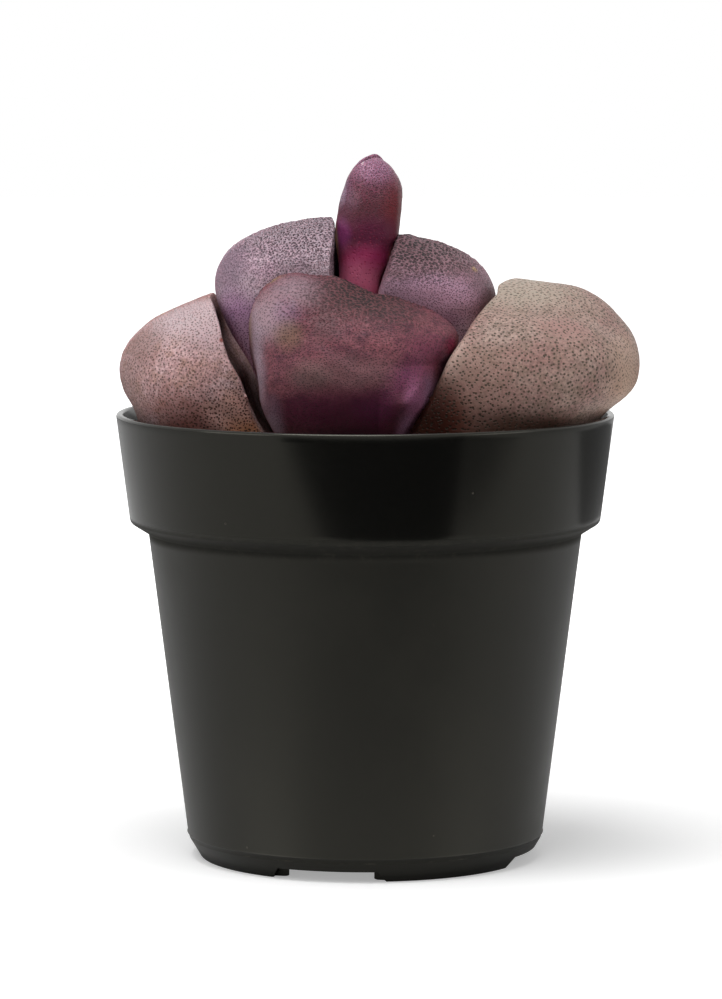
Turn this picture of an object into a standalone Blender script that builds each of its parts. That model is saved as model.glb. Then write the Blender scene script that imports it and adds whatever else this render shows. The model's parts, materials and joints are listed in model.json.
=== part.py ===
"""Potted split rock: four crossed pairs of stone-like leaves in a stepped nursery pot.

Metres, +Z up. The ground is Z = 0, and the origin lies under the middle of the
whole plant and pot. +X points to the right-hand outer leaf, -Y to the front leaf.
Leaf sizes are written in millimetres, counted from the pot's own axis.
"""
import math
from dataclasses import dataclass

import bmesh
import bpy
from mathutils import Matrix, Vector

MM = 0.001

# The right-hand leaf hangs over the rim, so the pot's axis is left of the middle.
POT_AXIS_X = -1.6 * MM
CLEARANCE = 0.3 * MM
LOOSE_CLEARANCE = 0.4 * MM

# Pot: a thin moulded wall with a wide collar on top and a notched foot ring.
POT_HEIGHT = 58.2 * MM
RIM_RADIUS = 32.5 * MM
COLLAR_BOTTOM_RADIUS = 30.7 * MM
COLLAR_BOTTOM_Z = 44.1 * MM
SHOULDER_RADIUS = 28.3 * MM
SHOULDER_Z = 42.6 * MM
BODY_BOTTOM_RADIUS = 23.2 * MM
BODY_BOTTOM_Z = 2.6 * MM
FOOT_RADIUS = 21.6 * MM
FOOT_RING_WIDTH = 1.7 * MM
WALL = 0.9 * MM
FLOOR_UNDERSIDE_Z = 1.2 * MM
FLOOR_TOP_Z = 2.3 * MM
POT_STEPS = 72

NOTCH_COUNT = 4
NOTCH_WIDTH = 13.2 * MM
NOTCH_FLARE = 1.12
NOTCH_HEIGHT = 1.4 * MM
NOTCH_DEPTH = 5.0 * MM
NOTCH_HEADING = math.radians(-103)
DRAIN_HOLE_RADIUS = 1.7 * MM
DRAIN_HOLE_CIRCLE = 17.0 * MM
DRAIN_HOLE_CUT = 6.0 * MM

# Potting mix: a plug that fills the pot to a little below the collar's rim.
MIX_EDGE_Z = 48.0 * MM
MIX_MIDDLE_Z = 49.0 * MM

# Stem: its crown carries the leaves, and its growing point feeds the newest pair.
STEM_X = -2.4 * MM
STEM_STEPS = 24

# Leaves give way softly to their neighbours, to the collar's wall and to the rim.
PRESS_SOFTNESS = 0.8 * MM
RIM_GAP = 0.9 * MM
OVERHANG_SLOPE = 2.8
COLLAR_SLOPE = (RIM_RADIUS - COLLAR_BOTTOM_RADIUS) / (POT_HEIGHT - COLLAR_BOTTOM_Z)


@dataclass
class Leaf:
    """One fleshy leaf, in millimetres and degrees, counted from the pot's axis."""

    name: str
    colour: str          # six hex digits
    foot: tuple          # bottom end of the flat inner face
    heading: float       # direction the leaf falls outward, from +X
    lean: float          # tilt of the flat face from upright
    length: float
    width: float
    thickness: float
    belly: float = 0.66      # share of the length where the leaf is thickest
    squareness: float = 2.7  # 2 is an ellipsoid, more is boxier
    neck: float = 0.35       # how far the foot narrows
    lip: float = 1.3         # roundness of the margin and the flat face
    roll: float = 0.0        # turn of the leaf within its flat face
    lift: float = 0.0        # rise of the thick side, as a share of its depth
    cuts: int = 9            # divisions of the block it is shaped from
    strokes: tuple = ()      # soft pushes: centre, reach and push
    pressed_by: tuple = ()   # leaves whose flat faces hold it in


LEAVES = (
    Leaf(
        name="outer_leaf_left",
        colour="A38480",
        foot=(-5.7, 0.6, 42.0),
        heading=180.6,
        lean=23,
        length=34.5,
        width=33,
        thickness=16.6,
        lip=0.6,
        lift=0.12,
        cuts=12,
    ),
    Leaf(
        name="outer_leaf_right",
        colour="90796B",
        foot=(4.6, -0.6, 42.0),
        heading=-14,
        lean=22.5,
        length=34.8,
        width=34,
        thickness=20.6,
        lip=1.1,
        lift=0.28,
        cuts=12,
        strokes=(
            ((20, -2, 73), 14, (0.9, 0, 2.2)),
            ((29, -3, 71), 9, (0.7, 0, 1.1)),
            ((34, -3, 59), 6, (0.5, 0, -1)),
            ((7, -13, 57), 8, (-0.8, -1.2, 0)),
        ),
    ),
    Leaf(
        name="front_leaf",
        colour="6F4A50",
        foot=(-4.8, -4.2, 45.0),
        heading=-90,
        lean=12,
        length=31,
        width=27,
        thickness=14,
        neck=0.7,
        roll=-8,
        strokes=(
            ((-11, -13, 74), 11, (-0.5, 0, 2.2)),
            ((11, -13, 68), 7, (0.6, 0, 1.3)),
            ((9, -15, 57), 11, (-3, 0, 0)),
            ((-15, -15, 60), 10, (2.4, 0, 0)),
        ),
        pressed_by=("outer_leaf_left", "outer_leaf_right"),
    ),
    Leaf(
        name="back_leaf",
        colour="6F4A50",
        foot=(-1.2, 4.2, 45.0),
        heading=88,
        lean=13,
        length=30,
        width=27,
        thickness=14,
        neck=0.7,
        roll=4,
        strokes=(
            ((9, 13, 71), 11, (0.5, 0.3, 1.8)),
            ((-11, 15, 68), 9, (-0.6, 0.6, 0)),
            ((-1, 20, 64), 10, (0, -1.1, 0)),
        ),
        pressed_by=("outer_leaf_left", "outer_leaf_right"),
    ),
    Leaf(
        name="inner_leaf_left",
        colour="84707F",
        foot=(-4.1, 0.4, 48.6),
        heading=180,
        lean=0,
        length=35,
        width=24,
        thickness=16.0,
        lip=0.35,
        strokes=(
            ((-14, 0, 84), 9, (0, 0, -1)),
        ),
        pressed_by=("outer_leaf_left", "outer_leaf_right", "front_leaf", "back_leaf"),
    ),
    Leaf(
        name="inner_leaf_right",
        colour="6E555C",
        foot=(-1.6, 0.2, 48.6),
        heading=-3,
        lean=10,
        length=33,
        width=23,
        thickness=15.5,
        lip=0.5,
        pressed_by=("outer_leaf_left", "outer_leaf_right", "front_leaf", "back_leaf"),
    ),
    Leaf(
        name="new_leaf_front",
        colour="6E2F48",
        foot=(-2.3, -0.2, 54.0),
        heading=-60,
        lean=3.5,
        length=37,
        width=10.8,
        thickness=4.4,
        belly=0.8,
        squareness=2.0,
        neck=0.8,
        lip=0.5,
        roll=-5,
        pressed_by=("inner_leaf_left", "inner_leaf_right", "front_leaf", "back_leaf"),
    ),
    Leaf(
        name="new_leaf_back",
        colour="6E2F48",
        foot=(-2.5, 0.2, 54.0),
        heading=120,
        lean=-3,
        length=37.4,
        width=9.6,
        thickness=3.8,
        belly=0.8,
        squareness=1.85,
        neck=0.8,
        lip=0.5,
        roll=6,
        pressed_by=("inner_leaf_left", "inner_leaf_right", "front_leaf", "back_leaf"),
    ),
)


def clear_scene():
    for obj in list(bpy.data.objects):
        bpy.data.objects.remove(obj, do_unlink=True)


def make_collection(name):
    collection = bpy.data.collections.new(name)
    bpy.context.scene.collection.children.link(collection)
    return collection


def linear(code):
    """Linear RGBA of a colour written as six hex digits."""
    values = (int(code[i:i + 2], 16) / 255 for i in (0, 2, 4))
    rgb = [v / 12.92 if v <= 0.04045 else ((v + 0.055) / 1.055) ** 2.4 for v in values]
    return (*rgb, 1.0)


def make_material(name, code, roughness):
    material = bpy.data.materials.new(name)
    material.use_nodes = True
    shader = material.node_tree.nodes["Principled BSDF"]
    shader.inputs["Base Color"].default_value = linear(code)
    shader.inputs["Roughness"].default_value = roughness
    shader.inputs["Metallic"].default_value = 0.0
    return material


def add_object(name, mesh, collection, parent, material=None):
    obj = bpy.data.objects.new(name, mesh)
    collection.objects.link(obj)
    obj.parent = parent
    if material:
        mesh.materials.append(material)
    return obj


def as_cutter(obj):
    obj.display_type = "WIRE"
    obj.hide_render = True
    return obj


def cut(obj, cutter, name):
    boolean = obj.modifiers.new(name, "BOOLEAN")
    boolean.operation = "DIFFERENCE"
    boolean.solver = "EXACT"
    boolean.object = cutter
    return boolean


def turned(name, profile, steps, collection, parent, material=None):
    """A solid of revolution; the profile of radius and height runs down its outer side."""
    mesh = bpy.data.meshes.new(name)
    bm = bmesh.new()
    verts = [bm.verts.new((radius, 0, z)) for radius, z in profile]
    for start, end in zip(verts, verts[1:]):
        bm.edges.new((start, end))
    bm.to_mesh(mesh)
    bm.free()
    obj = add_object(name, mesh, collection, parent, material)
    screw = obj.modifiers.new("Turn", "SCREW")
    screw.steps = steps
    screw.render_steps = steps
    screw.use_merge_vertices = True
    screw.merge_threshold = 0.00001
    screw.use_smooth_shade = False
    return obj


def leaf_frame(leaf):
    """Leaf axes: X across the leaf, Y out from its flat face, Z along it to the tip."""
    turn = Matrix.Rotation(math.radians(leaf.heading) - math.pi / 2, 4, "Z")
    tilt = Matrix.Rotation(math.radians(-leaf.lean), 4, "X")
    roll = Matrix.Rotation(math.radians(leaf.roll), 4, "Y")
    return Matrix.Translation(Vector(leaf.foot) * MM) @ turn @ tilt @ roll


def rounded_block(cuts):
    """A cube divided evenly, whose corners are rounded afterwards by each leaf."""
    bm = bmesh.new()
    bmesh.ops.create_cube(bm, size=2)
    bmesh.ops.subdivide_edges(bm, edges=bm.edges[:], cuts=cuts, use_grid_fill=True)
    return bm


def leaf_point(direction, leaf):
    """Place a direction from the block's middle on the leaf's surface."""
    power = leaf.squareness
    norm = sum(abs(c) ** power for c in direction) ** (1 / power)
    across, outward, along = (c / norm for c in direction)

    belly = leaf.belly * leaf.length
    reach = leaf.length - belly if along > 0 else belly
    narrowing = 1 - leaf.neck * max(0, -along) ** 1.3
    if outward > 0:
        depth = (leaf.thickness - leaf.lip) * outward * narrowing
    else:
        depth = leaf.lip * outward
    return Vector((
        leaf.width / 2 * across * narrowing,
        leaf.lip + depth,
        belly + reach * along + leaf.lift * max(0, depth),
    )) * MM


def stroke(point, centre, reach, push):
    """Push a point softly, fading to nothing at the stroke's reach."""
    share = (point - Vector(centre) * MM).length / (reach * MM)
    if share >= 1:
        return point
    return point + Vector(push) * MM * (1 - share ** 2) ** 2


def press(point, frame):
    """Keep a point clear of the flat face of the leaf with this frame."""
    into = -frame.col[1].xyz
    depth = (point - frame.translation).dot(into) - CLEARANCE
    kept = (depth + math.hypot(depth, PRESS_SOFTNESS)) / 2
    return point + into * (kept - depth)


def stay_in_pot(point):
    """Keep a point inside the pot's wall, or above the rim where the leaf hangs over it."""
    across = point.xy.length
    above_rim = point.z - POT_HEIGHT - RIM_GAP
    slope = OVERHANG_SLOPE if above_rim > 0 else COLLAR_SLOPE
    room = RIM_RADIUS - WALL - RIM_GAP + slope * above_rim - across
    kept = (room + math.hypot(room, PRESS_SOFTNESS)) / 2
    shrink = (across + room - kept) / across if across else 1
    return Vector((point.x * shrink, point.y * shrink, point.z))


def make_leaf(leaf, frames, collection, parent):
    frame = frames[leaf.name]
    bm = rounded_block(leaf.cuts)
    for vert in bm.verts:
        point = frame @ leaf_point(vert.co, leaf)
        for centre, reach, push in leaf.strokes:
            point = stroke(point, centre, reach, push)
        for neighbour in leaf.pressed_by:
            point = press(point, frames[neighbour])
        point = stay_in_pot(point)
        vert.co = point
    mesh = bpy.data.meshes.new(leaf.name)
    bm.to_mesh(mesh)
    bm.free()
    mesh.shade_smooth()
    material = make_material(leaf.name + "_skin", leaf.colour, 0.6)
    return add_object(leaf.name, mesh, collection, parent, material)


def clearance_copy(obj, collection, parent):
    """A copy of a piece, grown by the clearance, that cuts its seat in a neighbour."""
    cutter = add_object(obj.name + "_seat", obj.data, collection, parent)
    grow = cutter.modifiers.new("Clearance", "DISPLACE")
    grow.strength = CLEARANCE
    grow.mid_level = 0.0
    return as_cutter(cutter)


def make_pot(collection, cutters, parent):
    inner_collar_z = COLLAR_BOTTOM_Z + WALL
    inner_shoulder_z = SHOULDER_Z + WALL
    profile = (
        (0, FLOOR_TOP_Z),
        (FOOT_RADIUS - WALL, FLOOR_TOP_Z),
        (BODY_BOTTOM_RADIUS - WALL, BODY_BOTTOM_Z + WALL),
        (SHOULDER_RADIUS - WALL, inner_shoulder_z),
        (COLLAR_BOTTOM_RADIUS - WALL, inner_collar_z),
        (RIM_RADIUS - WALL, POT_HEIGHT),
        (RIM_RADIUS, POT_HEIGHT),
        (COLLAR_BOTTOM_RADIUS, COLLAR_BOTTOM_Z),
        (SHOULDER_RADIUS, SHOULDER_Z),
        (BODY_BOTTOM_RADIUS, BODY_BOTTOM_Z),
        (FOOT_RADIUS, 0),
        (FOOT_RADIUS - FOOT_RING_WIDTH, 0),
        (FOOT_RADIUS - FOOT_RING_WIDTH, FLOOR_UNDERSIDE_Z),
        (0, FLOOR_UNDERSIDE_Z),
    )
    material = make_material("black_plastic", "2A2A27", 0.4)
    pot = turned("pot", profile, POT_STEPS, collection, parent, material)

    for index in range(NOTCH_COUNT):
        heading = NOTCH_HEADING + index * math.tau / NOTCH_COUNT
        turn = Matrix.Rotation(heading, 4, "Z")
        notch = notch_cutter(f"notch_{index}", cutters, parent)
        notch.matrix_local = turn @ Matrix.Translation((FOOT_RADIUS, 0, 0))
        cut(pot, notch, f"Notch {index}")
        hole = hole_cutter(f"drain_hole_{index}", cutters, parent)
        hole.matrix_local = turn @ Matrix.Translation((DRAIN_HOLE_CIRCLE, 0, FLOOR_TOP_Z))
        cut(pot, hole, f"Drain hole {index}")
    return pot


def notch_cutter(name, collection, parent):
    bm = bmesh.new()
    bmesh.ops.create_cube(bm, size=1)
    bmesh.ops.scale(bm, vec=(NOTCH_DEPTH, NOTCH_WIDTH, 2 * NOTCH_HEIGHT), verts=bm.verts)
    lower = [vert for vert in bm.verts if vert.co.z < 0]
    bmesh.ops.scale(bm, vec=(1, NOTCH_FLARE ** 2, 1), verts=lower)
    mesh = bpy.data.meshes.new(name)
    bm.to_mesh(mesh)
    bm.free()
    return as_cutter(add_object(name, mesh, collection, parent))


def hole_cutter(name, collection, parent):
    bm = bmesh.new()
    bmesh.ops.create_cone(
        bm, cap_ends=True, segments=20, depth=DRAIN_HOLE_CUT,
        radius1=DRAIN_HOLE_RADIUS, radius2=DRAIN_HOLE_RADIUS,
    )
    mesh = bpy.data.meshes.new(name)
    bm.to_mesh(mesh)
    bm.free()
    return as_cutter(add_object(name, mesh, collection, parent))


def stem_profile(growth=0):
    """Growing point, crown and taproot, optionally grown all round."""
    return (
        (0, 54.4 * MM + growth),
        (1.3 * MM + growth, 53.4 * MM + growth),
        (2.0 * MM + growth, 50.0 * MM + growth),
        (5.5 * MM + growth, 47.5 * MM + growth),
        (7.2 * MM + growth, 44.5 * MM),
        (6.4 * MM + growth, 40.5 * MM),
        (4.6 * MM + growth, 34.0 * MM),
        (2.6 * MM + growth, 24.0 * MM),
        (1.1 * MM + growth, 14.0 * MM),
        (0, 10.0 * MM - 4 * growth),
    )


def make_stem(seats, collection, parent):
    material = make_material("root_bark", "8A7A5E", 0.8)
    stem = turned("stem_and_taproot", stem_profile(), STEM_STEPS, collection, parent, material)
    stem.location.x = STEM_X
    for seat in seats:
        cut(stem, seat, "Cut by " + seat.name)
    return stem


def make_stem_seat(collection, parent):
    """The stem's shape before the leaves bite into it, grown by the clearance."""
    seat = turned("stem_seat", stem_profile(LOOSE_CLEARANCE), STEM_STEPS, collection, parent)
    seat.location.x = STEM_X
    return as_cutter(seat)


def make_potting_mix(seats, collection, parent):
    """A plug of mix that follows the pot's inside, with the plant's seats cut from its top."""
    gap = LOOSE_CLEARANCE
    profile = (
        (0, MIX_MIDDLE_Z),
        (COLLAR_BOTTOM_RADIUS - WALL, MIX_EDGE_Z),
        (COLLAR_BOTTOM_RADIUS - WALL - gap, COLLAR_BOTTOM_Z + WALL + gap),
        (SHOULDER_RADIUS - WALL - gap, SHOULDER_Z + WALL + gap),
        (BODY_BOTTOM_RADIUS - WALL - gap, BODY_BOTTOM_Z + WALL + gap / 2),
        (FOOT_RADIUS - WALL - gap, FLOOR_TOP_Z + gap),
        (0, FLOOR_TOP_Z + gap),
    )
    material = make_material("potting_mix", "4A3B2E", 0.95)
    mix = turned("potting_mix", profile, POT_STEPS, collection, parent, material)
    for seat in seats:
        cut(mix, seat, "Cut by " + seat.name)
    return mix


def build():
    clear_scene()
    pieces = make_collection("potted_split_rock")
    cutters = make_collection("cutters")
    axis = bpy.data.objects.new("pot_axis", None)
    axis.location = (POT_AXIS_X, 0, 0)
    pieces.objects.link(axis)

    frames = {leaf.name: leaf_frame(leaf) for leaf in LEAVES}
    leaves = [make_leaf(leaf, frames, pieces, axis) for leaf in LEAVES]
    seats = [clearance_copy(leaf, cutters, axis) for leaf in leaves]
    make_stem(seats, pieces, axis)
    make_pot(pieces, cutters, axis)
    make_potting_mix([make_stem_seat(cutters, axis), *seats], pieces, axis)


build()
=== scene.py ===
# %% [markdown]
# # A potted split rock
#
# The object is a small succulent in a black nursery pot. Its leaves look like
# split pebbles: fleshy, matt, and covered with dark dots. The pot is a thin,
# satin moulding. This file dresses the finished model: it takes the plain
# solids as a fixed frame, builds a finer surface over each, and gives every
# piece its own material.
#
# Everything is in metres, with Z up, and the viewer stands at -Y.

# %% Load the frame
import json
import math
import random

import bmesh
import bpy
from mathutils import Euler, Matrix, Vector, noise
from mathutils.bvhtree import BVHTree

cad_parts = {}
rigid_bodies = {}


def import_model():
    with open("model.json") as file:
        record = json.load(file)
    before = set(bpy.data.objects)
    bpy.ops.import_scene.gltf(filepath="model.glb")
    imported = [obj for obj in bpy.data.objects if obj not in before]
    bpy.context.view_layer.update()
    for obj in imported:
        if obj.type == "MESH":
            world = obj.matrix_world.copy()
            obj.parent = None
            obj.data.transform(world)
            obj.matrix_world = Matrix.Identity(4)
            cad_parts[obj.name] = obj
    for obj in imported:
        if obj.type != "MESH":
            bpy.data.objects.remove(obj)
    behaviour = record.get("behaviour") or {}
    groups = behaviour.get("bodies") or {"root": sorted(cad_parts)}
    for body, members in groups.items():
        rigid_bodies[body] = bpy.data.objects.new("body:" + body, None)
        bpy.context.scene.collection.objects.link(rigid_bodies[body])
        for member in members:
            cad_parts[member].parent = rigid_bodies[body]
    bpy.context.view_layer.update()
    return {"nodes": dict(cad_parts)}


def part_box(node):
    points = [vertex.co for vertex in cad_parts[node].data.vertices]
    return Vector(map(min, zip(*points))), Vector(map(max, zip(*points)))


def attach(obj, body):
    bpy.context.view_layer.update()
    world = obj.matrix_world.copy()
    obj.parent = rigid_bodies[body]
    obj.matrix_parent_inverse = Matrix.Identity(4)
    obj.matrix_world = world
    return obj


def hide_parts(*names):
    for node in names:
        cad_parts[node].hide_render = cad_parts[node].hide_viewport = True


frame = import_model()
MM = 0.001
print("nodes:", ", ".join(sorted(frame["nodes"])))

# %% [markdown]
# ## Where things are
#
# The pot's own box gives its axis, its rim and its height, and every place in
# this file is worked out from the boxes of the solids. `place` names a point
# inside a solid's box by three shares, from its lowest corner to its highest,
# so a mark can be put "near the top, on the left" of a leaf.

# %% Places from the solids
pot_low, pot_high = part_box("pot")
AXIS = Vector(((pot_low.x + pot_high.x) / 2, (pot_low.y + pot_high.y) / 2, 0))
RIM_RADIUS = (pot_high.x - pot_low.x) / 2
POT_HEIGHT = pot_high.z


def place(node, across, depth, height):
    """A point in a node's box, by shares along X, Y and Z."""
    low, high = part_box(node)
    size = high - low
    return low + Vector((size.x * across, size.y * depth, size.z * height))


print(f"pot: rim radius {RIM_RADIUS / MM:.1f} mm, height {POT_HEIGHT / MM:.1f} mm")

# %% [markdown]
# ## The camera
#
# A product picture like this is taken from well back with a long lens, so the
# pot's sides hardly converge. The camera looks down by a few degrees, which
# opens the rim into a thin ellipse.

# %% Camera
VIEW_DISTANCE = 651 * MM
VIEW_TILT = math.radians(5.93)
AIM_HEIGHT = 46.75 * MM
AIM_SIDE = -0.55 * MM
LENS_MM = 179.5

aim = AXIS + Vector((AIM_SIDE, 0, AIM_HEIGHT))
camera_data = bpy.data.cameras.new("portrait_camera")
camera_data.lens = LENS_MM
camera_data.clip_start = 10 * MM
camera = bpy.data.objects.new("portrait_camera", camera_data)
camera.location = aim + VIEW_DISTANCE * Vector((0, -math.cos(VIEW_TILT), math.sin(VIEW_TILT)))
camera.rotation_euler = (math.pi / 2 - VIEW_TILT, 0, 0)
bpy.context.scene.collection.objects.link(camera)
bpy.context.scene.camera = camera
bpy.context.scene.view_settings.view_transform = "Standard"
print("camera at", tuple(round(value, 4) for value in camera.location))

# %% [markdown]
# ## Small tools for meshes
#
# A finished piece keeps its place in its mesh, with its object at the origin.
# `finish_mesh` turns a bmesh into such a piece, and `attach` lets it ride on the
# model's one body. `apply_modifiers` replaces a live stack by the mesh that it
# makes, so that later steps can work on real vertices. `surface_tree` finds where
# a ray meets a mesh, or its nearest point.

# %% Mesh helpers
def finish_mesh(bm, name, sharp_angle=None):
    mesh = bpy.data.meshes.new(name)
    bm.to_mesh(mesh)
    bm.free()
    obj = bpy.data.objects.new(name, mesh)
    bpy.context.scene.collection.objects.link(obj)
    shade(mesh, sharp_angle)
    return obj


def shade(mesh, sharp_angle=None):
    mesh.shade_smooth()
    if sharp_angle:
        mesh.set_sharp_from_angle(angle=math.radians(sharp_angle))


def apply_modifiers(obj, sharp_angle=None):
    graph = bpy.context.evaluated_depsgraph_get()
    mesh = bpy.data.meshes.new_from_object(obj.evaluated_get(graph))
    old = obj.data
    obj.modifiers.clear()
    obj.data = mesh
    bpy.data.meshes.remove(old)
    shade(mesh, sharp_angle)
    return obj


def count_faces(obj):
    return sum(len(face.vertices) - 2 for face in obj.data.polygons)


def surface_tree(mesh):
    return BVHTree.FromPolygons(
        [vert.co for vert in mesh.vertices], [face.vertices for face in mesh.polygons]
    )


def millimetres(*values):
    return Vector(values) * MM


# %% [markdown]
# ## Small tools for materials
#
# Materials are built as node graphs. `Graph` keeps that short: `add` makes a
# node, sets its properties and fills its sockets either with a value or with
# the output of another node. Colours are written as the six hex digits that a
# paint chart would show and are turned into linear light here.

# %% Material helpers
def linear(code):
    values = (int(code[i:i + 2], 16) / 255 for i in (0, 2, 4))
    rgb = [v / 12.92 if v <= 0.04045 else ((v + 0.055) / 1.055) ** 2.4 for v in values]
    return (*rgb, 1.0)


class Graph:
    """A node tree under construction."""

    def __init__(self, tree):
        self.tree = tree

    def add(self, kind, inputs=None, **settings):
        node = self.tree.nodes.new(kind)
        for name, value in settings.items():
            setattr(node, name, value)
        for key, value in (inputs or {}).items():
            socket = node.inputs[key]
            if isinstance(value, bpy.types.NodeSocket):
                self.link(value, socket)
            else:
                socket.default_value = value
        return node

    def link(self, output, socket):
        self.tree.links.new(output, socket)

    def math(self, operation, first, second=0.0):
        node = self.add("ShaderNodeMath", {0: first, 1: second}, operation=operation)
        return node.outputs[0]

    def vector_math(self, operation, first, second):
        node = self.add("ShaderNodeVectorMath", {0: first, 1: second}, operation=operation)
        return node.outputs["Value" if operation in ("LENGTH", "DOT_PRODUCT") else "Vector"]

    def ramp(self, value, low, high, start=0.0, end=1.0):
        """Smooth step of a value from low to high, put out from start to end."""
        node = self.add(
            "ShaderNodeMapRange",
            {"Value": value, "From Min": low, "From Max": high, "To Min": start, "To Max": end},
            interpolation_type="SMOOTHSTEP",
        )
        return node.outputs["Result"]

    def blend(self, share, first, second, mode="MIX"):
        node = self.add(
            "ShaderNodeMix", {0: share, 6: first, 7: second}, data_type="RGBA", blend_type=mode
        )
        return node.outputs[2]

    def noise(self, vector, scale, detail=2.0, roughness=0.5):
        node = self.add(
            "ShaderNodeTexNoise",
            {"Vector": vector, "Scale": scale, "Detail": detail, "Roughness": roughness},
        )
        return node.outputs["Fac"]

    def bump(self, shader, height, strength, distance):
        node = self.add(
            "ShaderNodeBump", {"Height": height, "Strength": strength, "Distance": distance}
        )
        self.link(node.outputs["Normal"], shader.inputs["Normal"])


def new_group(name, inputs, outputs):
    """An empty node group with named sockets, as (graph, input sockets, output node)."""
    tree = bpy.data.node_groups.new(name, "ShaderNodeTree")
    for direction, sockets in (("INPUT", inputs), ("OUTPUT", outputs)):
        for label, (kind, default) in sockets.items():
            socket = tree.interface.new_socket(label, in_out=direction, socket_type=kind)
            if default is not None:
                socket.default_value = default
    graph = Graph(tree)
    source = tree.nodes.new("NodeGroupInput").outputs
    sink = tree.nodes.new("NodeGroupOutput")
    return graph, source, sink


def new_material(name, **sockets):
    """A material with its graph, its Principled shader and its Object coordinates."""
    material = bpy.data.materials.new(name)
    material.use_nodes = True
    graph = Graph(material.node_tree)
    shader = material.node_tree.nodes["Principled BSDF"]
    for key, value in sockets.items():
        shader.inputs[key.replace("_", " ")].default_value = value
    coordinates = graph.add("ShaderNodeTexCoord").outputs["Object"]
    return material, graph, shader, coordinates


FLOAT = "NodeSocketFloat"
VECTOR = "NodeSocketVector"
COLOUR = "NodeSocketColor"

# %% [markdown]
# ## Shared effect: dots
#
# The dark dots of a split rock are windows in its skin. They are round, all of
# about one size, and spaced irregularly but never far apart. A Voronoi texture
# has such a spacing: each cell has one point, and a dot is whatever lies near
# enough to it. The texture is a flat one on the leaf's own map, so every point
# lies in the skin. In a solid texture, most points would lie under it or above
# it, and the dots would come out as slices of all sizes.

# %% Group: dots
def make_dots_group():
    graph, source, sink = new_group(
        "Dots",
        {
            "Vector": (VECTOR, None),
            "Scale": (FLOAT, 1800.0),
            "Radius": (FLOAT, 0.25),
            "Softness": (FLOAT, 0.1),
            "Disorder": (FLOAT, 0.85),
        },
        {"Mask": (FLOAT, None), "Chance": (FLOAT, None)},
    )
    cells = graph.add(
        "ShaderNodeTexVoronoi",
        {"Vector": source["Vector"], "Scale": source["Scale"], "Randomness": source["Disorder"]},
        voronoi_dimensions="2D",
    )
    chance = graph.add("ShaderNodeSeparateColor", {0: cells.outputs["Color"]})
    size = graph.ramp(chance.outputs[0], 0.0, 1.0, 0.7, 1.12)
    radius = graph.math("MULTIPLY", size, source["Radius"])
    inner = graph.math("SUBTRACT", radius, source["Softness"])
    outer = graph.math("ADD", radius, source["Softness"])
    mask = graph.ramp(cells.outputs["Distance"], inner, outer, 1.0, 0.0)
    graph.link(mask, sink.inputs["Mask"])
    graph.link(chance.outputs[1], sink.inputs["Chance"])
    return graph.tree


DOTS = make_dots_group()

# %% [markdown]
# ## Shared effect: soft patches
#
# Leaves are flushed with magenta, bleached and stained brown in spots, and
# some patches paint shade and others light. Each is a soft ellipsoid of
# colour: the distance from its middle, measured in its own three radii, fades
# out at one. A little noise bends the outline so that no patch looks sprayed on.

# %% Group: patch
def make_patch_group():
    graph, source, sink = new_group(
        "Patch",
        {
            "Vector": (VECTOR, None),
            "Centre": (VECTOR, (0, 0, 0)),
            "Radii": (VECTOR, (0.01, 0.01, 0.01)),
            "Core": (FLOAT, 0.2),
            "Wobble": (FLOAT, 0.35),
        },
        {"Mask": (FLOAT, None)},
    )
    offset = graph.vector_math("SUBTRACT", source["Vector"], source["Centre"])
    share = graph.vector_math("DIVIDE", offset, source["Radii"])
    distance = graph.vector_math("LENGTH", share, (0, 0, 0))
    ripple = graph.math("SUBTRACT", graph.noise(source["Vector"], 260.0, 3.0), 0.5)
    bent = graph.math("ADD", distance, graph.math("MULTIPLY", ripple, source["Wobble"]))
    mask = graph.ramp(bent, source["Core"], 1.0, 1.0, 0.0)
    graph.link(mask, sink.inputs["Mask"])
    return graph.tree


PATCH = make_patch_group()

# %% [markdown]
# ## Shared effect: mottle
#
# Living skin is never one colour. Mottle blends three near tones: two of them
# by clouds of several millimetres, the third as smaller flecks. A fine grain
# then makes the result lighter and darker at the size of the dots.

# %% Group: mottle
GRAIN_DARK = (0.3, 0.3, 0.3, 1)
GRAIN_LIGHT = (0.72, 0.72, 0.72, 1)
GRAIN_STRENGTH = 0.75


def make_mottle_group():
    graph, source, sink = new_group(
        "Mottle",
        {
            "Vector": (VECTOR, None),
            "Scale": (FLOAT, 160.0),
            "Grain": (FLOAT, 2600.0),
            "First": (COLOUR, None),
            "Second": (COLOUR, None),
            "Third": (COLOUR, None),
        },
        {"Color": (COLOUR, None), "Height": (FLOAT, None)},
    )
    clouds = graph.noise(source["Vector"], source["Scale"], 4.0, 0.6)
    fleck_scale = graph.math("MULTIPLY", source["Scale"], 3.3)
    flecks = graph.noise(source["Vector"], fleck_scale, 3.0, 0.6)
    grain = graph.noise(source["Vector"], source["Grain"], 3.0, 0.65)
    colour = graph.blend(graph.ramp(clouds, 0.38, 0.62), source["First"], source["Second"])
    fleck_share = graph.math("MULTIPLY", graph.ramp(flecks, 0.45, 0.68), 0.75)
    colour = graph.blend(fleck_share, colour, source["Third"])
    light = graph.blend(graph.ramp(grain, 0.3, 0.7), GRAIN_DARK, GRAIN_LIGHT)
    colour = graph.blend(GRAIN_STRENGTH, colour, light, "OVERLAY")
    height = graph.math("ADD", graph.math("MULTIPLY", flecks, 0.6), grain)
    graph.link(colour, sink.inputs["Color"])
    graph.link(height, sink.inputs["Height"])
    return graph.tree


MOTTLE = make_mottle_group()
print("shared groups:", ", ".join(group.name for group in bpy.data.node_groups))

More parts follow.
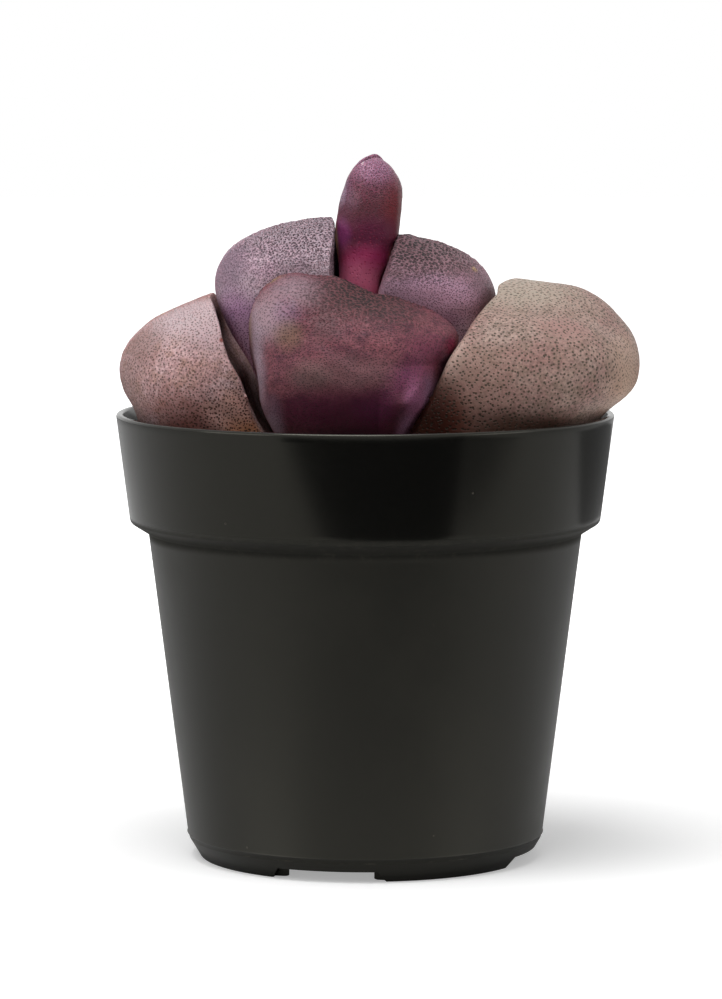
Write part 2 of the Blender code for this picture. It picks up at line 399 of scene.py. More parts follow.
# %% [markdown]
# ## Leaf surfaces
#
# The solid of each leaf is a coarse closed mesh. Its triangles are paired into
# quads again, and Subdivision Surface rounds them into the taut, swollen skin
# of a water-storing leaf. On that fine mesh, small moves along the normals give
# what a formula lacks: a slow unevenness, dents where leaves have pressed on
# each other, and shallow creases where a thirsty leaf has begun to fold.
#
# The leaf is also unwrapped before it is rounded. Its seam runs round the
# margin, between the domed back and the flat face, where no one would look for
# it. The map is scaled so that one unit of it is one metre of skin, which lets
# the dots be sized in real millimetres.

# %% Leaf builder
SAME_DIRECTION = 0.995
FLAT_SIDE = 0.8
MERGE_DISTANCE = 0.005 * MM
PAIR_FOLD_ANGLE = math.radians(40)
PAIR_SHAPE_ANGLE = math.radians(50)


def flat_direction(bm):
    """The normal of the largest flat area: the face that met the leaf's twin."""
    normals = [(face.normal.copy(), face.calc_area()) for face in bm.faces]

    def area_near(direction):
        return sum(area for normal, area in normals if normal.dot(direction) > SAME_DIRECTION)

    return max((normal for normal, _ in normals), key=area_near)


def mark_margin(bm):
    """Seam the edges between the flat face and the dome, and choose the cut's two ends.

    A set has no order of its own, so a second key decides between equally low points.
    """
    flat = flat_direction(bm)
    inside = {face for face in bm.faces if face.normal.dot(flat) > FLAT_SIDE}
    margin = set()
    for edge in bm.edges:
        sides = [face in inside for face in edge.link_faces]
        edge.seam = sides[0] != sides[1]
        if edge.seam:
            margin.update(edge.verts)
    for face in bm.faces:
        face.select_set(False)
    min(margin, key=lambda vert: (vert.co.z, vert.co.y)).select_set(True)
    min(bm.verts, key=lambda vert: vert.co.dot(flat)).select_set(True)


def unwrap(obj):
    """Cut the dome from its foot to its back, and unwrap at one map unit a metre."""
    bpy.context.view_layer.objects.active = obj
    obj.select_set(True)
    bpy.ops.object.mode_set(mode="EDIT")
    bpy.ops.mesh.shortest_path_select()
    bpy.ops.mesh.mark_seam()
    bpy.ops.mesh.select_all(action="SELECT")
    bpy.ops.uv.unwrap(method="MINIMUM_STRETCH", iterations=10, margin=0.02)
    bpy.ops.object.mode_set(mode="OBJECT")
    obj.select_set(False)
    bm = bmesh.new()
    bm.from_mesh(obj.data)
    layer = bm.loops.layers.uv.active
    skin_area = sum(face.calc_area() for face in bm.faces)
    map_area = 0
    for face in bm.faces:
        corners = [loop[layer].uv for loop in face.loops]
        turned = corners[1:] + corners[:1]
        map_area += abs(sum(a.x * b.y - a.y * b.x for a, b in zip(corners, turned))) / 2
    scale = math.sqrt(skin_area / map_area)
    for face in bm.faces:
        for loop in face.loops:
            loop[layer].uv *= scale
    bm.to_mesh(obj.data)
    bm.free()


def fine_copy(node, levels):
    """A merged, unwrapped and smoothly subdivided copy of a solid, as a bmesh."""
    bm = bmesh.new()
    bm.from_mesh(frame["nodes"][node].data)
    bmesh.ops.remove_doubles(bm, verts=bm.verts[:], dist=MERGE_DISTANCE)
    bmesh.ops.join_triangles(
        bm, faces=bm.faces[:], angle_face_threshold=PAIR_FOLD_ANGLE,
        angle_shape_threshold=PAIR_SHAPE_ANGLE,
    )
    mark_margin(bm)
    for layer in list(bm.loops.layers.uv):
        bm.loops.layers.uv.remove(layer)
    bm.loops.layers.uv.new("skin")
    coarse = finish_mesh(bm, node + "_coarse")
    unwrap(coarse)
    rounding = coarse.modifiers.new("Rounding", "SUBSURF")
    rounding.levels = levels
    rounding.render_levels = levels
    apply_modifiers(coarse)
    fine = bmesh.new()
    fine.from_mesh(coarse.data)
    bpy.data.objects.remove(coarse)
    return fine


# %% [markdown]
# ## Sculpting by small moves
#
# A few tools shape the fine skin. `swell` lifts or sinks a soft spot, and
# `nudge` shifts one sideways, which turns a margin or squares up a shoulder.
# `pull_flanks` widens or narrows a leaf by rows, and `bring_forward` swings one
# flank to the front. `crease` lays shallow parallel folds. `unevenness` and
# `pebble` roughen the skin, the first at the size of a fingertip and the second
# at the size of the dots, so that a margin is not a clean line where it stands
# against the light. `relax` smooths a spot where moves have crowded the points.
#
# Every tool takes the mesh, the leaf's name and then its own values, so a leaf
# can be written as a list of steps. Places are shares of the leaf's box, and
# lengths are in millimetres.

# %% Sculpting tools
ALL_OVER = ((0.5, 0.5, 0.5), (60, 60, 60))
FOLD_BEND_SIZE = 4 * MM
FADE_SHARE = 0.15


def near(bm, node, where, radii):
    """The points inside an ellipsoid, with a share of one in its middle, zero at its edge."""
    centre, radii = place(node, *where), millimetres(*radii)
    for vert in bm.verts:
        offset = vert.co - centre
        share = (offset.x / radii.x) ** 2 + (offset.y / radii.y) ** 2 + (offset.z / radii.z) ** 2
        if 1 - share > 0:
            yield vert, 1 - share


def unevenness(bm, node, size, depth, seed):
    shift = Vector((seed * 3.1, seed * 1.7, seed * 2.3))
    for vert in bm.verts:
        wave = noise.fractal(vert.co / (size * MM) + shift, 1.0, 2.0, 3)
        vert.co += vert.normal * (depth * MM) * wave
    bm.normal_update()


def pebble(bm, node, where, radii, size, height):
    size *= MM
    for vert, share in near(bm, node, where, radii):
        bump = noise.noise(vert.co / size) + 0.5 * noise.noise(vert.co / size * 2.1)
        vert.co += vert.normal * (height * MM) * bump * min(1.0, share * 2)
    bm.normal_update()


def swell(bm, node, where, radii, height):
    for vert, share in near(bm, node, where, radii):
        vert.co += vert.normal * (height * MM) * share ** 2
    bm.normal_update()


def nudge(bm, node, where, radii, move):
    move = millimetres(*move)
    for vert, share in near(bm, node, where, radii):
        vert.co += move * share ** 2
    bm.normal_update()


def relax(bm, node, where, radii, times):
    verts = [vert for vert, _ in near(bm, node, where, radii)]
    for _ in range(times):
        bmesh.ops.smooth_vert(
            bm, verts=verts, factor=0.5, use_axis_x=True, use_axis_y=True, use_axis_z=True
        )
    bm.normal_update()


def crease(bm, node, where, radii, depth, spacing, direction):
    centre = place(node, *where)
    across = Vector(direction).normalized()
    for vert, share in near(bm, node, where, radii):
        bend = noise.noise(vert.co / FOLD_BEND_SIZE) * 1.6
        wave = math.sin((vert.co - centre).dot(across) / (spacing * MM) * math.tau + bend)
        vert.co -= vert.normal * (depth * MM) * (0.5 + 0.5 * wave) * share
    bm.normal_update()


def bring_forward(bm, node, start, slope, bottom, top):
    """Swing the flank beyond a share of the width to the front, between two heights."""
    low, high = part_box(node)
    first = place(node, start, 0, 0).x
    for vert in bm.verts:
        beyond = vert.co.x - first
        height = (vert.co.z - low.z) / (high.z - low.z)
        fade = min(1.0, (height - bottom) / FADE_SHARE, (top - height) / FADE_SHARE)
        if beyond > 0:
            vert.co.y -= slope * beyond * max(0.0, fade)
    bm.normal_update()


def row_value(rows, height, column):
    """A column of a table of rows, read between them by height share."""
    for upper, lower in zip(rows, rows[1:]):
        if upper[0] >= height >= lower[0]:
            share = (height - lower[0]) / (upper[0] - lower[0])
            return lower[column] + (upper[column] - lower[column]) * share
    return rows[0][column] if height > rows[0][0] else rows[-1][column]


def pull_flanks(bm, node, guide, rows):
    """Move the flanks, and lift them, by rows of (height, left, right, lift) in a guide's box."""
    low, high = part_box(guide)
    middle = (low.x + high.x) / 2
    for vert in bm.verts:
        height = (vert.co.z - low.z) / (high.z - low.z)
        side = max(-1.0, min(1.0, (vert.co.x - middle) / (high.x - middle)))
        flank = row_value(rows, height, 2 if side > 0 else 1)
        vert.co.x += flank * math.sin(abs(side) * math.pi / 2) * MM
        vert.co.z += row_value(rows, height, 3) * MM
    bm.normal_update()


# %% [markdown]
# ## Leaf skin
#
# One function builds the skin of every leaf, because all of them have the same
# layers: three mottled tones, soft patches of other colours, and dots on top.
# Only the values differ, and they change with age. Old leaves are grey-pink
# with wide, clear dots, and young ones purple with fine, crowded ones.
#
# A layer of dots may be kept to one patch of the leaf, such as the crowded
# dots along a top margin. The dots also feed the bump, because each window in
# the skin is a little sunken, and the waxy skin between them is smoother.

# %% Skin material
DOT_DEPTH = 0.45
MOTTLE_DEPTH = 0.45
SOFT_ROUGHNESS = 0.18


def leaf_skin(
    node, tones, patches, dots, mottle_scale=160.0, roughness=0.5, glow=0.12, shine=0.35
):
    """A leaf's material.

    patches: (colour, (across, depth, height), (x, y, z) radii in mm, strength)
    dots: (colour, scale, radius, softness, strength), then a patch's place and
    radii where the dots are kept to one
    """
    material, graph, shader, coordinates = new_material(
        node + "_skin", IOR=1.4, Specular_IOR_Level=shine, Subsurface_Weight=glow,
        Subsurface_Scale=1.2 * MM, Subsurface_Radius=(1.0, 0.35, 0.35),
    )
    skin_map = graph.add("ShaderNodeUVMap", uv_map="skin").outputs["UV"]

    def shared(group, **inputs):
        return graph.add("ShaderNodeGroup", inputs, node_tree=group).outputs

    def patch(where, radii):
        centre, radii = place(node, *where), millimetres(*radii)
        return shared(PATCH, Vector=coordinates, Centre=centre, Radii=radii)["Mask"]

    first, second, third = (linear(code) for code in tones)
    mottle = shared(
        MOTTLE, Vector=coordinates, Scale=mottle_scale, First=first, Second=second, Third=third
    )
    colour = mottle["Color"]
    for code, where, radii, strength in patches:
        share = graph.math("MULTIPLY", patch(where, radii), strength)
        colour = graph.blend(share, colour, linear(code))

    sunk = graph.math("MULTIPLY", mottle["Height"], MOTTLE_DEPTH)
    for code, scale, radius, softness, strength, *where in dots:
        mask = shared(DOTS, Vector=skin_map, Scale=scale, Radius=radius, Softness=softness)["Mask"]
        if where:
            mask = graph.math("MULTIPLY", mask, patch(*where))
        colour = graph.blend(graph.math("MULTIPLY", mask, strength), colour, linear(code))
        sunk = graph.math("SUBTRACT", sunk, graph.math("MULTIPLY", mask, DOT_DEPTH))
    graph.link(colour, shader.inputs["Base Color"])
    rough = graph.ramp(sunk, -0.4, 0.3, roughness + SOFT_ROUGHNESS, roughness)
    graph.link(rough, shader.inputs["Roughness"])
    graph.bump(shader, sunk, 0.75, 0.16 * MM)
    return material


# %% [markdown]
# ## One leaf, from steps and colours
#
# Every leaf goes the same way: its fine copy, the sculpting steps in their
# order, the skin, and its place on the model's body instead of its solid. So a
# leaf needs only its own list of steps and its own colours.

# %% Leaf from steps
LEAF_LEVELS = 3


def build_leaf(node, slot, steps, **colours):
    skin = leaf_skin(node, **colours)
    bm = fine_copy(node, LEAF_LEVELS)
    for tool, *values in steps:
        tool(bm, node, *values)
    leaf = finish_mesh(bm, node + "_skin")
    leaf.data.materials.append(skin)
    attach(leaf, "root")
    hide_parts(node)
    print(f"{leaf.name}: {count_faces(leaf)} triangles")


# %% [markdown]
# ## The outer left leaf
#
# The oldest pair is plump and sun-bleached. The left one is pinker. It has
# begun to crease near its margin, where the plant has drawn water from it, and
# its foot is reddish brown, partly stain and partly painted shade. Its flat face,
# where it shows in the cleft, is painted brown, partly its own tone and partly
# shade, and near-black further in as painted shade.

# %% Outer left leaf
build_leaf(
    "outer_leaf_left",
    "old_leaf_skin",
    steps=(
        (unevenness, 11, 0.3, 1),
        (nudge, (0.60, 0.45, 0.88), (8, 20, 8), (-1.35, 0, 0)),
        (nudge, (0.62, 0.40, 0.74), (7, 24, 8), (-1.9, 0, 0)),
        (nudge, (0.72, 0.40, 0.52), (7, 24, 7), (-1.9, 0, 0)),
        (nudge, (0.05, 0.3, 0.42), (5, 12, 5), (-0.5, 0, -0.2)),
        (relax, (0.72, 0.1, 0.65), (5, 7, 12), 6),
        (crease, (0.6, 0.0, 0.6), (7, 8, 7), 0.28, 3.2, (1, 0, 0.9)),
        (swell, (0.3, 0.05, 0.78), (6, 6, 5), -0.25),
        (pebble, *ALL_OVER, 0.8, 0.03),
    ),
    tones=("C5A4A5", "AE8987", "A48278"),
    patches=(
        ("C6B1B5", (0.35, 0.2, 0.93), (11, 14, 5), 0.85),
        ("BFA6AB", (0.5, 0.05, 0.86), (5, 6, 4), 0.5),
        ("8C736F", (0.12, 0.2, 0.82), (5, 8, 5), 0.7),
        ("8E7672", (0.07, 0.3, 0.6), (4, 12, 8), 0.75),
        # The foot: partly reddish brown stain, partly painted shade.
        ("8F605A", (0.3, 0.05, 0.56), (8, 8, 5), 0.75),
        ("74392F", (0.36, 0.05, 0.46), (7, 8, 4), 0.75),
        ("CC9C90", (0.58, 0.0, 0.56), (5, 6, 4), 0.75),
        ("C88860", (0.66, 0.0, 0.47), (5, 6, 3.5), 0.85),
        # Painted shade on the flat face in the cleft: brown in front, partly its own tone, and
        # near-black deeper in.
        ("8E5A46", (1.0, 0.4, 0.75), (10, 24, 26), 0.97),
        ("0C0705", (0.95, 1.0, 0.6), (12, 21, 28), 0.98),
        ("C07F28", (0.79, 0.08, 0.5), (1.6, 5, 5), 0.9),
        ("7E2E22", (0.53, 0.04, 0.85), (0.5, 1.5, 0.5), 0.8),
        ("D9A85A", (0.22, 0.52, 0.92), (0.5, 0.7, 0.5), 0.9),
    ),
    dots=(
        ("4A4038", 2350.0, 0.25, 0.09, 0.72),
        ("3A241B", 2350.0, 0.29, 0.09, 0.6, (0.6, 0.0, 0.5), (10, 8, 9)),
    ),
    shine=0.0,
)

# %% [markdown]
# ## The outer right leaf
#
# This one has swollen out over the rim. Its dots are the widest and clearest on
# the plant. The margin next to its neighbours is a pale, waxy ridge. Its foot
# is reddish brown, partly its own colour and partly painted shade, and darkens
# to a painted shadow, dots and all, where it meets the front leaf.

# %% Outer right leaf
build_leaf(
    "outer_leaf_right",
    "old_leaf_skin",
    steps=(
        (unevenness, 12, 0.25, 2),
        (nudge, (0.42, 0.42, 1.02), (5, 10, 2.8), (-1.6, 0, 0)),
        (nudge, (0.78, 0.45, 0.96), (8, 12, 5), (0.2, 0, 0.45)),
        (nudge, (0.95, 0.25, 0.5), (6, 12, 5), (0.5, 0, -0.2)),
        (nudge, (0.20, 0.3, 0.62), (6, 11, 7), (-0.9, 0, 0)),
        (nudge, (0.15, 0.2, 0.55), (8, 13, 10), (-0.8, -0.2, 0)),
        (nudge, (0.30, 0.35, 0.8), (5, 11, 6), (-0.6, 0, 0)),
        (nudge, (0.12, 0.3, 0.45), (7, 12, 8), (-1.8, 0, 0)),
        (swell, (0.22, 0.1, 0.72), (2.2, 6, 5), 0.3),
        (pebble, *ALL_OVER, 0.8, 0.025),
        (swell, (0.45, 0.02, 0.72), (8, 8, 7), -0.2),
    ),
    tones=("9E857B", "93726B", "836D61"),
    patches=(
        ("AEA192", (0.45, 0.4, 0.98), (14, 16, 5), 0.75),
        ("A9867F", (0.68, 0.1, 0.86), (7, 7, 4), 0.5),
        ("C6AEA2", (0.2, 0.1, 0.8), (3, 8, 8), 0.75),
        ("C2A08A", (0.95, 0.3, 0.6), (6, 12, 10), 0.8),
        ("9A766C", (0.3, 0.02, 0.62), (8, 8, 8), 0.5),
        # The dark foot is partly its own colour and partly painted shade; the next three are
        # painted shadow where the front leaf meets it.
        ("4C3226", (0.52, 0.04, 0.46), (15, 9, 4.4), 0.9),
        ("6A3424", (0.14, 0.03, 0.5), (6.5, 9, 7.5), 0.9),
        ("3E1007", (0.08, 0.1, 0.42), (6, 10, 7), 0.95),
        ("3A1810", (0.12, 0.03, 0.52), (5.5, 10, 8), 0.85),
        ("C0A45E", (0.14, 0.06, 0.74), (0.7, 3, 2), 0.4),
        ("D8BE6A", (0.34, 0.2, 0.97), (1.0, 2, 1.0), 0.6),
        ("8A5A45", (0.0, 0.5, 0.6), (7, 22, 22), 0.7),
    ),
    dots=(
        ("3F3A2E", 1780.0, 0.235, 0.07, 0.85),
        # Darker dots inside the painted shadow at the foot.
        ("2C1A10", 1780.0, 0.26, 0.08, 0.6, (0.2, 0.05, 0.45), (12, 9, 9)),
    ),
)

# %% [markdown]
# ## The front leaf
#
# The younger pair stands crosswise to the outer one. Its front leaf is the
# darkest. A pale lobe runs down its left side, partly waxy bloom and partly a
# painted highlight, its top is crowded with near-black dots, and its foot is
# flushed with deep magenta that deepens to a band of painted shade. A painted
# shadow edges the hollow at the upper left, and painted light makes the lilac
# band down the right flank.

# %% Front leaf
build_leaf(
    "front_leaf",
    "dark_leaf_skin",
    steps=(
        (unevenness, 9, 0.25, 3),
        (swell, (0.16, 0.3, 0.86), (5, 7, 6), 0.35),
        (swell, (0.3, 0.12, 0.78), (5, 6, 5), -0.45),
        (swell, (0.95, 0.35, 0.74), (3, 5, 3), 0.35),
        (nudge, (0.47, 0.6, 1.0), (5, 9, 4), (0, 0, 0.95)),
        (nudge, (0.2, 0.6, 0.97), (5, 9, 4), (0, 0, 0.35)),
        (nudge, (0.98, 0.45, 0.76), (4, 6, 4), (0.5, 0, 0)),
        (nudge, (0.92, 0.35, 0.58), (6, 10, 7), (-0.7, 0, 0)),
        (nudge, (0.82, 0.3, 0.42), (6, 10, 7), (-0.5, 0, 0)),
        (bring_forward, 0.62, 0.8, 0.0, 0.66),
        (nudge, (0.1, 0.35, 0.5), (5, 9, 8), (-0.8, -1.0, 0)),
        (nudge, (0.14, 0.35, 0.42), (7, 12, 8), (-1.1, 0, 0)),
        (nudge, (0.05, 0.5, 0.88), (5, 10, 6), (-0.55, 0, 0)),
        (swell, (0.74, 0.05, 0.55), (3, 6, 7), -0.35),
        (swell, (0.34, 0.0, 0.66), (4, 6, 3), 0.2),
        (swell, (0.58, 0.0, 0.6), (4, 6, 3), 0.2),
        (crease, (0.4, 0.0, 0.7), (8, 6, 6), 0.12, 2.6, (0.5, 0, 1)),
        (pebble, *ALL_OVER, 0.8, 0.035),
        (pebble, (0.5, 0.6, 0.97), (16, 14, 8), 0.5, 0.15),
    ),
    tones=("6E3C46", "7A464E", "4A2030"),
    patches=(
        # The pale lobe down the left side: partly waxy bloom, partly painted highlight.
        ("A28891", (0.1, 0.35, 0.84), (4.5, 8, 5), 0.9),
        ("A08590", (0.25, 0.4, 0.94), (5, 6, 4), 0.8),
        ("AB95A2", (0.03, 0.35, 0.62), (2.4, 8, 10), 0.9),
        ("9A8494", (0.13, 0.35, 0.42), (2.0, 8, 6), 0.8),
        ("8B6A88", (0.2, 0.3, 0.85), (3, 5, 3), 0.5),
        ("7E6450", (0.2, 0.12, 0.78), (3, 4, 3), 0.6),
        # Painted shadow along the edge of the hollow.
        ("5A3A3E", (0.36, 0.1, 0.82), (3, 5, 4), 0.6),
        ("5A3437", (0.58, 0.4, 0.93), (12, 13, 5.2), 0.92),
        ("845F62", (0.5, 0.0, 0.64), (8, 6, 3.5), 0.6),
        ("765F5B", (0.3, 0.0, 0.62), (4, 6, 3), 0.5),
        # Deep magenta at the foot, partly its own colour and partly painted shade, with a
        # near-black band of painted shade below.
        ("5A1D3A", (0.4, 0.05, 0.47), (13, 9, 4.5), 0.85),
        ("5B2138", (0.6, 0.05, 0.4), (10, 9, 4), 0.85),
        ("260A15", (0.45, 0.1, 0.34), (14, 9, 3.6), 0.85),
        ("6A2A44", (0.86, 0.2, 0.7), (5, 8, 4), 0.7),
        ("5C1C46", (0.76, 0.1, 0.6), (4.0, 8, 3.6), 0.65),
        ("5A1A42", (0.62, 0.1, 0.5), (4.5, 8, 3.6), 0.7),
        # Painted light: the lighter lilac band down the right flank.
        ("9A7088", (0.96, 0.2, 0.64), (1.8, 7, 3.6), 0.8),
        ("B888A8", (0.87, 0.2, 0.52), (2.2, 8, 4.2), 0.85),
        ("A87898", (0.76, 0.2, 0.4), (2.2, 8, 4.2), 0.85),
        ("C47CA6", (0.79, 0.2, 0.53), (2.2, 8, 3.6), 0.75),
        ("8C1E4C", (0.97, 0.35, 0.72), (1.2, 3, 1.8), 0.7),
        ("C9B47A", (0.2, 0.62, 0.97), (4, 2, 1.2), 0.55),
        ("B09A6E", (0.0, 0.5, 0.75), (0.9, 4, 6), 0.4),
    ),
    dots=(
        ("2C1A1E", 2900.0, 0.27, 0.12, 0.62),
        ("171011", 2000.0, 0.42, 0.09, 0.96, (0.62, 0.5, 0.97), (14, 18, 8)),
    ),
    mottle_scale=220.0,
)

# %% [markdown]
# ## The back leaf
#
# The front leaf's twin faces away, so it is the plain one of the pair: the same
# skin, a little greener and paler where it catches light from behind.

# %% Back leaf
build_leaf(
    "back_leaf",
    "dark_leaf_skin",
    steps=(
        (unevenness, 9, 0.25, 4),
        (pebble, *ALL_OVER, 0.8, 0.035),
        (pebble, (0.5, 0.3, 0.98), (14, 10, 6), 0.5, 0.11),
    ),
    tones=("84606A", "8C6A66", "5F3C46"),
    patches=(
        ("9E868D", (0.85, 0.7, 0.85), (6, 9, 6), 0.85),
        ("8E7480", (0.2, 0.8, 0.8), (7, 8, 6), 0.6),
        ("64434A", (0.5, 0.5, 0.95), (10, 10, 4), 0.7),
        ("8A6A50", (0.6, 0.95, 0.7), (4, 4, 3), 0.6),
        ("4F1E33", (0.5, 0.95, 0.4), (13, 8, 7), 0.85),
        ("7A2E58", (0.15, 0.8, 0.5), (6, 8, 6), 0.6),
        ("A77590", (0.9, 0.8, 0.5), (2.6, 7, 6), 0.6),
    ),
    dots=(
        ("2C1A1E", 2900.0, 0.27, 0.12, 0.62),
        ("171011", 2150.0, 0.33, 0.09, 0.9, (0.5, 0.35, 0.97), (14, 13, 6)),
    ),
    mottle_scale=220.0,
)

# %% [markdown]
# ## The inner left leaf
#
# The inner pair has opened in the same plane as the outer one, and the new
# leaves now push it apart. Its leaves are lilac, with dots so fine and close
# that the top margins look sanded. The flat face of the left one, where it shows
# in the narrow gap beside the new pair, is painted dark brown as shade.

# %% Inner left leaf
build_leaf(
    "inner_leaf_left",
    "purple_leaf_skin",
    steps=(
        (unevenness, 9, 0.2, 5),
        (nudge, (1.0, 0.2, 0.97), (2.5, 8, 5), (0.35, 0, 0)),
        (nudge, (0.05, 0.45, 0.62), (6, 13, 8), (-0.95, 0, 0)),
        (nudge, (0.99, 0.12, 0.78), (2.5, 4, 5), (-0.6, 0, 0)),
        (nudge, (1.0, 0.7, 0.8), (3, 6, 8), (1.3, 0, 0)),
        (pebble, *ALL_OVER, 0.8, 0.03),
        (pebble, (0.6, 0.5, 1.0), (16, 14, 7), 0.45, 0.15),
    ),
    tones=("C6ADB8", "B798A7", "A28E98"),
    patches=(
        ("A8969E", (0.7, 0.3, 0.97), (13, 15, 5), 0.8),
        ("8A7684", (0.12, 0.2, 0.8), (5, 8, 7), 0.75),
        ("AB7FA4", (0.2, 0.08, 0.62), (7, 6, 6), 0.85),
        ("C09AB4", (0.36, 0.05, 0.52), (8, 6, 6), 0.9),
        # Painted shade on the flat face in the gap beside the new pair.
        ("2E1712", (1.1, 0.6, 0.8), (3.2, 14, 18), 0.97),
    ),
    dots=(
        ("392A33", 3500.0, 0.28, 0.12, 0.66),
        ("221A1D", 2700.0, 0.33, 0.1, 0.85, (0.75, 0.3, 0.95), (16, 18, 9)),
    ),
    shine=0.0,
)

# %% [markdown]
# ## The inner right leaf
#
# Its twin is a little lower and darker, with a near-black crown of dots, and
# reddish brown painted shade down the side that faces the new pair.

# %% Inner right leaf
build_leaf(
    "inner_leaf_right",
    "purple_leaf_skin",
    steps=(
        (unevenness, 9, 0.2, 6),
        (nudge, (0.6, 0.5, 0.95), (11, 14, 7), (0.15, 0, 0.45)),
        (nudge, (0.38, 0.35, 1.0), (1.8, 5, 1.8), (0, 0, 0.45)),
        (nudge, (0.33, 0.3, 0.98), (4, 10, 4), (-0.4, 0, 0)),
        (nudge, (0.2, 0.3, 0.83), (4, 10, 5), (-0.9, 0, 0)),
        (nudge, (0.14, 0.3, 0.72), (4, 9, 4), (-0.8, 0, 0)),
        (nudge, (0.2, 0.75, 0.84), (4, 7, 7), (-1.5, 0, 0)),
        (pebble, *ALL_OVER, 0.8, 0.03),
        (pebble, (0.5, 0.5, 1.0), (16, 14, 7), 0.45, 0.15),
    ),
    tones=("A6808E", "936C7C", "7E5F66"),
    patches=(
        ("6A4A50", (0.38, 0.3, 0.95), (9, 14, 5.2), 0.92),
        ("7E6065", (0.68, 0.3, 0.93), (7, 13, 4), 0.7),
        ("AE90A8", (0.5, 0.02, 0.8), (9, 7, 3), 0.75),
        ("7C5E68", (0.88, 0.25, 0.8), (4, 8, 6), 0.7),
        ("AE7496", (0.6, 0.05, 0.6), (9, 7, 5), 0.8),
        ("C294A8", (0.5, 0.02, 0.77), (9, 7, 3.8), 0.75),
        ("BDA2AC", (0.78, 0.1, 0.62), (4, 7, 4), 0.7),
        ("C9A870", (0.82, 0.25, 0.88), (0.8, 1, 0.6), 0.5),
        # Painted shade down the side that faces the new pair.
        ("3E2018", (0.0, 0.6, 0.7), (4, 14, 17), 0.95),
    ),
    dots=(
        ("352329", 3500.0, 0.28, 0.12, 0.66),
        ("191214", 2300.0, 0.41, 0.09, 0.95, (0.4, 0.3, 0.97), (14, 18, 7.5)),
    ),
)

# %% [markdown]
# ## The new pair
#
# Two leaves still pressed together stand upright in the middle. Light shines
# into their foot, which has hardly any green in it yet, and makes it glow pink;
# its bright pink is partly its own colour and partly painted glow. A pale
# membrane edges each leaf. Both sides near the top are painted darker as shade,
# the left edge is painted lighter as light, and a tiny near-white painted
# highlight sits near the tip.

# %% New leaves
FINGER_ROWS = (
    (1.00, -0.45, -0.75, 0.72),
    (0.95, -0.30, -0.60, 0.45),
    (0.90, -0.10, 0.00, 0.30),
    (0.83, -0.30, 0.30, 0.0),
    (0.78, -0.60, 0.45, 0.0),
    (0.73, -0.60, 0.60, 0.0),
    (0.69, -0.35, 0.45, 0.0),
    (0.65, -0.15, 0.2, 0.0),
    (0.58, 0.0, -0.8, 0.0),
    (0.50, 0.0, -0.8, 0.0),
    (0.30, 0.0, 0.0, 0.0),
)
NEW_PATCHES = (
    ("A5738F", (0.55, 0.3, 0.99), (5, 5, 3.4), 0.9),
    ("75506A", (0.1, 0.3, 0.9), (1.6, 5, 4), 0.6),
    ("582430", (0.5, 0.0, 0.84), (5, 5, 2.8), 0.8),
    # Painted shade on both sides near the top.
    ("541A34", (0.06, 0.3, 0.82), (2.0, 6, 4.5), 0.85),
    ("640014", (0.92, 0.3, 0.83), (3.2, 7, 5.5), 1.0),
    ("7E5C6C", (0.22, 0.1, 0.87), (1.6, 4, 2), 0.4),
    ("A894A8", (0.04, 0.4, 0.92), (0.9, 5, 4), 0.6),
    ("5E1238", (0.5, 0.0, 0.755), (6, 5, 3.2), 0.9),
    # Painted light on the left edge.
    ("A0488A", (0.04, 0.1, 0.75), (1.6, 5, 3), 0.55),
    ("C03A74", (0.45, 0.1, 0.655), (6, 5, 3.0), 0.85),
    # Bright pink foot: partly its own colour, partly painted glow.
    ("FF8AB0", (0.28, 0.1, 0.56), (7, 6, 4.8), 1.0),
    ("E9C890", (-0.08, 0.35, 0.68), (0.7, 4, 6), 0.9),
    ("E6BC80", (1.0, 0.35, 0.69), (0.9, 4, 3), 0.9),
    ("E0A07A", (0.88, 0.25, 0.65), (1.2, 3, 2.6), 0.7),
    # Painted highlight: a tiny glint near the tip.
    ("F6E8EE", (0.37, 0.5, 0.995), (0.3, 1.6, 0.7), 0.95),
    ("4A1E0E", (0.72, 0.4, 0.58), (1.1, 3, 3), 0.85),
    ("4A2410", (0.1, 0.4, 0.56), (0.7, 3, 3), 0.7),
)
NEW_DOTS = (
    ("2A141B", 3300.0, 0.28, 0.12, 0.6, (0.5, 0.3, 0.92), (8, 9, 9)),
    ("1E1014", 3000.0, 0.26, 0.13, 0.35, (0.5, 0.3, 0.97), (6, 6, 5)),
    ("B02A50", 1700.0, 0.17, 0.1, 0.5, (0.5, 0.1, 0.66), (6, 6, 6)),
)
for node, seed in (("new_leaf_front", 7), ("new_leaf_back", 8)):
    build_leaf(
        node,
        "new_leaf_skin",
        steps=(
            (unevenness, 5, 0.12, seed),
            (pull_flanks, "new_leaf_front", FINGER_ROWS),
            (pebble, *ALL_OVER, 0.6, 0.02),
        ),
        tones=("703A4C", "7C4A55", "562638"),
        patches=NEW_PATCHES,
        dots=NEW_DOTS,
        mottle_scale=300.0,
        roughness=0.42,
        glow=0.3,
    )

# %% [markdown]
# ## Where leaves press on each other
#
# Sculpting has swollen a few leaves into their neighbours. The older leaf gives
# way: its points that lie inside the younger one move out to that one's
# surface, so the two touch along a shared dent. A little of each point's depth
# is kept, because points that land on one spot would leave the skin open.

# %% Press the leaves
PRESS_GAP = 0.1 * MM
PRESS_SPREAD = 0.02
UPWARD = Vector((0, 0, 1))


